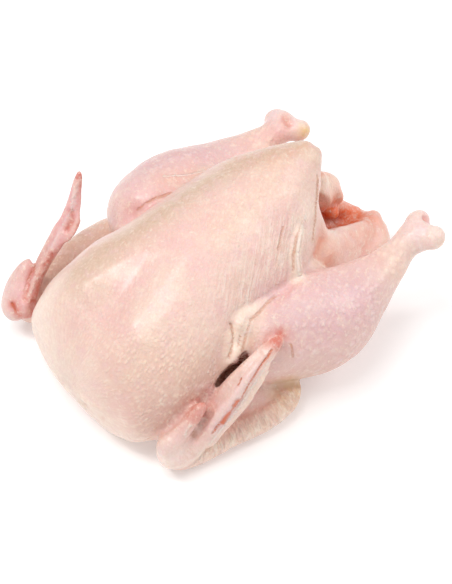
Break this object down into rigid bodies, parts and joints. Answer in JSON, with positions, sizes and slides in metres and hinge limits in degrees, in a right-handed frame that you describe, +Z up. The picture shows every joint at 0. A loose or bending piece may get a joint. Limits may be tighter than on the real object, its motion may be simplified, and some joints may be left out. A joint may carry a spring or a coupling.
{
  "type": "whole raw chicken",
  "caption": "Whole raw plucked chicken lying on its back: breast up, wings folded back beside it, legs pointing rearwards, belly opened between keel and tail.",
  "frame": {"origin": "middle of the footprint, on the surface the bird lies on", "axes": "+Z up through the breast, +Y from the neck end towards the tail, +X towards the bird's own right side"},
  "size_m": [0.1714, 0.215, 0.0992],
  "materials": {
    "skin": "moist, pale pink and cream plucked skin with raised follicles"
  },
  "bodies": {
    "root": {"chicken": "skin"}
  },
  "joints": []
}
